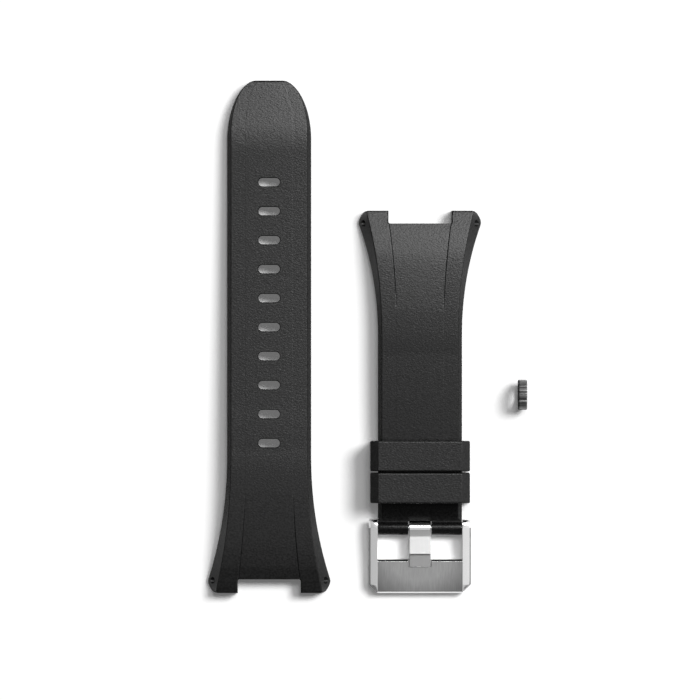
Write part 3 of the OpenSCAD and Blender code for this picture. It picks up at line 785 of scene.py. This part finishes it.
def makeBuckle():
    back, reach, inside = buckle["barIn"], buckle["reach"], buckle["inside"]
    (topIn, topOut), (lowIn, lowOut) = armHeights(np.array([back, reach]))
    topIn, topOut = topIn - buckle["dip"], topOut - buckle["dip"]
    view = [(back, lowIn), (reach, lowOut), (reach, topOut - buckle["frontDrop"]),
            (reach - buckle["frontEdge"], topOut), (back + buckle["backEdge"], topIn),
            (back, topIn - buckle["backEdge"])]
    path = roundedPath(view, (buckle["soft"] / 2,) * 6, (4,) * 6, closed=True)
    end, n = inside + buckle["overlap"], len(path)
    rings = [np.column_stack([np.full(n, layout["buckleX"] + x), layout["barY"] - path[:, 0],
                              layout["barZ"] + path[:, 1]]) for x in (-end, end)]
    obj = makeObject("buckleFrame", np.concatenate(rings), gridFaces(2, n, wrapCols=True), n)
    h, to, r = buckle["pocketHalf"], buckle["pocketTo"], buckle["pocketRound"]
    past, top = buckle["pocketPast"]
    box = roundedPath([(-h, past), (-h, -to), (h, -to), (h, past)], (0, r, r, 0), (1, 4, 4, 1),
                      closed=True)
    flat = np.zeros(len(box)) + layout["barZ"]
    cutters = [prism("pocket", box + (layout["buckleX"], layout["barY"]), 0 * box,
                     [(flat + buckle["pocketZ"], 0), (flat + top, 0)])]
    for side in (-1, 1):
        ends = sorted(layout["buckleX"] + side * x
                      for x in (inside - buckle["holeBack"], inside + buckle["holeDeep"]))
        cutters.append(rod("hole", [(x, buckle["hole"]) for x in ends],
                           (layout["barY"], layout["barZ"]), 32))
    carve(obj, cutters, (makeArm(-1), makeArm(1)))
    bevel = obj.modifiers.new("edges", "BEVEL")
    bevel.width, bevel.segments = buckle["bevel"] * mm, 2
    bevel.limit_method, bevel.angle_limit = "ANGLE", math.radians(40)
    finishPiece(obj, "buckle", "buckle_frame",
                [polishedSteel, brushedSteel, slantShadeSteel], sharp=30)
    # the front bar's top is brushed, with painted shade towards its low corners, and the arms'
    # slanted edges are darkened as painted shade, for the shaded floor that they reflect
    fieldTo, slantTo = reach - buckle["armShort"], reach - buckle["slantShort"]
    lowest, highest = buckle["slantUp"]
    for polygon in obj.data.polygons:
        ahead = layout["barY"] - polygon.center.y / mm
        aside = abs(polygon.center.x / mm - layout["buckleX"])
        tilt, up = abs(polygon.normal.x), polygon.normal.z
        field = back < ahead < fieldTo and aside < inside and up > buckle["fieldUp"]
        slanted = 0 < ahead < slantTo and aside > end and tilt > buckle["slantAside"] \
            and lowest < up < highest
        polygon.material_index = 2 if slanted else int(field)


makeBuckle()
print("buckle made")


# Tongue: its side view, a curl round the spring bar, a flat, a rising ridge, a step and a thin tip,
# carried across with rounded edges, and closed through the bore

pin = {"half": 2.55, "curl": 1.75, "bore": 0.8, "flat": 1.7, "flatTo": 2.05, "ridgeAt": 6.2,
       "ridgeTop": 2.3, "step": 0.15, "tipTop": 1.121, "tipLow": -0.179, "end": 9.25,
       "edge": 0.1, "curlSteps": 40, "curlGap": 0.2, "tipFall": 0.02, "satinFrom": 0.4,
       "satinUp": 0.9, "cuts": (0.05, 0.05, 0.1, 0.1, 0.08, 0.08, 0.2),
       "steps": (3, 3, 4, 4, 4, 5, 4)}


def makeTongue():
    r, flat, at, n = pin["curl"], pin["flat"], pin["ridgeAt"], pin["curlSteps"]
    a = np.linspace(math.asin(flat / r), 2 * math.pi - pin["curlGap"], n)
    curl = np.stack([r * np.cos(a), r * np.sin(a)], -1)
    line = [(r, pin["tipLow"] - pin["step"]), (at, pin["tipLow"]), (pin["end"], pin["tipLow"]),
            (pin["end"], pin["tipTop"]), (at + pin["step"], pin["tipTop"] + pin["tipFall"]),
            (at, pin["ridgeTop"]), (pin["flatTo"], flat)]
    path = roundedPath(np.concatenate([curl, line]), (0,) * n + pin["cuts"],
                       (1,) * n + pin["steps"], closed=True)
    around = np.roll(path, -1, 0) - np.roll(path, 1, 0)
    outward = np.stack([-around[:, 1], around[:, 0]], -1)
    outward /= -np.linalg.norm(outward, axis=1, keepdims=True)
    turn = np.arctan2(path[:, 1], path[:, 0])
    bore = pin["bore"] * np.stack([np.cos(turn), np.sin(turn)], -1)
    t, e, h = np.linspace(0, math.pi / 2, 5), pin["edge"], pin["half"]
    levels = [(-h + e * (1 - math.cos(k)), e * (1 - math.sin(k))) for k in t]
    levels += [(-x, inset) for x, inset in levels[::-1]]
    rings = [(-h, bore)] + [(x, path - outward * inset) for x, inset in levels] + [(h, bore)]
    points = np.stack([np.column_stack([layout["buckleX"] + x + 0 * ring[:, 0],
                                        layout["barY"] - ring[:, 0], layout["barZ"] + ring[:, 1]])
                       for x, ring in rings])
    obj = makeObject("pinTongue", points,
                     gridFaces(*points.shape[:2], wrapRows=True, wrapCols=True))
    finishPiece(obj, "tongue", "tongue", [polishedSteel, tongueSteel], sharp=30)
    # satin sides and flat tops, and a polished curl
    for polygon in obj.data.polygons:
        ahead = layout["barY"] - polygon.center.y / mm
        aside = abs(polygon.center.x / mm - layout["buckleX"])
        top = ahead > pin["satinFrom"] and polygon.normal.z > pin["satinUp"]
        polygon.material_index = int(aside > h - e or top)


makeTongue()


# Spring in the bar: two half coils, one towards each tip that presses it in; both are drawn at
# full length

spring = {"radius": 0.4, "wire": 0.14, "end": 7.2, "turns": 9, "press": 1.05,
          "turnSteps": 16, "wireSides": 8}


def makeSpring(name, side):
    # a small circle whose middle goes along x while it turns about the bar
    w, end, n = spring["wire"] / 2, spring["end"], spring["wireSides"]
    t = np.linspace(0, 1, spring["turns"] * spring["turnSteps"] + 1)[:, None]
    turn = 2 * math.pi * spring["turns"] * t
    a = np.linspace(0, 2 * math.pi, n, endpoint=False)[None, :]
    radius = spring["radius"] + w * np.cos(a)
    x = layout["buckleX"] + side * (end - w) * t + w * np.sin(a)
    points = np.stack([x, layout["barY"] + radius * np.cos(turn),
                       layout["barZ"] + radius * np.sin(turn)], -1)
    obj = makeObject(name, points, gridFaces(len(t), n, wrapCols=True), n)
    finishPiece(obj, "short_half", "bar_spring", [springSteel], sharp=60)
    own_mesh(obj)


makeSpring("springLeft", -1)
makeSpring("springRight", 1)

# turned pieces whose solids stay as they are
turned = {"long_bush_left": bushSteel, "long_bush_right": bushSteel,
          "short_bush_left": bushSteel, "short_bush_right": bushSteel,
          "bar_tube": barSteel, "bar_tip_left": barSteel, "bar_tip_right": barSteel}
for node, material in turned.items():
    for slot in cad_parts[node].material_slots:
        slot.material = material
print("tongue and spring made, bushes and spring bar dressed")


# Floor, light and camera

studio = {"floorSize": 3.0, "floorDrop": 0.05, "floorColor": 0.9, "floorGlow": 0.14,
          "keyAim": (0.62, 0.38, 1.0), "keySpread": 12.0, "keyBright": 22.6,
          "fillAim": (0.12, 0.354, 1.0), "fillSpread": 9.0, "fillBright": 8.8, "lampFar": 5.0,
          "skyNear": 0.0, "skyAbove": 0.8, "skyFar": 1.0, "skySide": 0.49, "skyRight": 0.51,
          "skySoft": 0.04, "skyLean": 0.27, "skyLow": 0.45, "nearSpan": (-0.49, -0.22),
          "farSpan": (0.15, 0.8), "fallSpan": (0.1, 0.75), "rightSpan": (0.3, 0.9),
          "lowSpan": (-0.56, -0.75), "leanSpan": (-0.2, 0.2),
          "viewX": -4.155, "viewY": -3.155, "viewFar": 2.4, "viewZ": 3.0, "frameWidth": 166.67,
          "sensor": 36.0, "clip": (0.01, 10.0)}


def makeFloor():
    size, z = studio["floorSize"] / 2, -studio["floorDrop"] * mm
    mesh = bpy.data.meshes.new("floor")
    mesh.from_pydata([(-size, -size, z), (size, -size, z), (size, size, z), (-size, size, z)],
                     [], [(0, 1, 2, 3)])
    material = bpy.data.materials.new("paleFloor")
    material.use_nodes = True
    tree = material.node_tree
    tree.nodes.clear()
    plain = tree.nodes.new("ShaderNodeBsdfDiffuse")
    plain.inputs["Color"].default_value = (*(studio["floorColor"],) * 3, 1)
    glow = tree.nodes.new("ShaderNodeEmission")
    glow.inputs["Color"].default_value = (1, 1, 1, 1)
    path = tree.nodes.new("ShaderNodeLightPath")
    scale = tree.nodes.new("ShaderNodeMath")
    scale.operation = "MULTIPLY"
    scale.inputs[1].default_value = studio["floorGlow"]
    both = tree.nodes.new("ShaderNodeAddShader")
    out = tree.nodes.new("ShaderNodeOutputMaterial")
    tree.links.new(path.outputs["Is Camera Ray"], scale.inputs[0])
    tree.links.new(scale.outputs[0], glow.inputs["Strength"])
    tree.links.new(plain.outputs[0], both.inputs[0])
    tree.links.new(glow.outputs[0], both.inputs[1])
    tree.links.new(both.outputs[0], out.inputs["Surface"])
    mesh.materials.append(material)
    addObject("floor", mesh)


def makeWorld():
    # white to the camera; polished pieces see a pale sky that fades to the horizon and is lighter
    # on the right, with a dark band on the near side and some light below the band
    world = bpy.data.worlds.new("studio")
    bpy.context.scene.world = world
    world.use_nodes = True
    tree = world.node_tree
    tree.nodes.clear()
    place = tree.nodes.new("ShaderNodeTexCoord")
    split = tree.nodes.new("ShaderNodeSeparateXYZ")
    tree.links.new(place.outputs["Generated"], split.inputs[0])
    above, lean = studio["skyAbove"], studio["skyLean"]
    near = addSpan(tree, split.outputs["Y"], *studio["nearSpan"], studio["skyNear"], above)
    far = addSpan(tree, split.outputs["Y"], *studio["farSpan"], 0, studio["skyFar"] - above)
    fall = addSpan(tree, split.outputs["Z"], *studio["fallSpan"], studio["skySide"], 1)
    right = addSpan(tree, split.outputs["X"], *studio["rightSpan"], 0, studio["skyRight"])
    low = addSpan(tree, split.outputs["Y"], *studio["lowSpan"], 0, studio["skyLow"])
    sides = addSpan(tree, split.outputs["X"], *studio["leanSpan"], 1 - lean, 1 + lean)
    ends = addMath(tree, "ADD", low.outputs["Result"], far.outputs["Result"])
    bands = addMath(tree, "ADD", near.outputs["Result"], ends.outputs[0])
    lowered = addMath(tree, "MULTIPLY", bands.outputs[0], fall.outputs["Result"])
    leaning = addMath(tree, "MULTIPLY", lowered.outputs[0], sides.outputs["Result"])
    whole = addMath(tree, "ADD", leaning.outputs[0], right.outputs["Result"])
    path = tree.nodes.new("ShaderNodeLightPath")
    glossy = addPick(tree, path.outputs["Is Glossy Ray"], studio["skySoft"], None)
    tree.links.new(whole.outputs[0], glossy.inputs["B"])
    pick = addPick(tree, path.outputs["Is Camera Ray"], None, 1.0)
    tree.links.new(glossy.outputs["Result"], pick.inputs["A"])
    sky = tree.nodes.new("ShaderNodeBackground")
    tree.links.new(pick.outputs["Result"], sky.inputs["Strength"])
    out = tree.nodes.new("ShaderNodeOutputWorld")
    tree.links.new(sky.outputs[0], out.inputs["Surface"])


def makeLamp(name):
    # a disc of a given spread in degrees and brightness, seen from the part in the direction aim
    aim = Vector(studio[name + "Aim"]).normalized()
    radius = studio["lampFar"] * math.tan(math.radians(studio[name + "Spread"]))
    lamp = bpy.data.lights.new(name, "AREA")
    lamp.shape, lamp.size = "DISK", 2 * radius
    lamp.energy = studio[name + "Bright"] * math.pi * math.pi * radius ** 2
    obj = addObject(name, lamp)
    obj.location = aim * studio["lampFar"]
    obj.rotation_euler = (-aim).to_track_quat("-Z", "Y").to_euler()


makeFloor()
makeWorld()
makeLamp("key")
makeLamp("fill")

camera = bpy.data.cameras.new("camera")
camera.sensor_width = studio["sensor"]
camera.lens = studio["sensor"] * studio["viewFar"] / (studio["frameWidth"] * mm)
camera.clip_start, camera.clip_end = studio["clip"]
cameraObject = addObject("camera", camera)
cameraObject.location = (studio["viewX"] * mm, studio["viewY"] * mm,
                         studio["viewFar"] + studio["viewZ"] * mm)
bpy.context.scene.camera = cameraObject
bpy.context.scene.view_settings.view_transform = "Standard"
print("studio set")
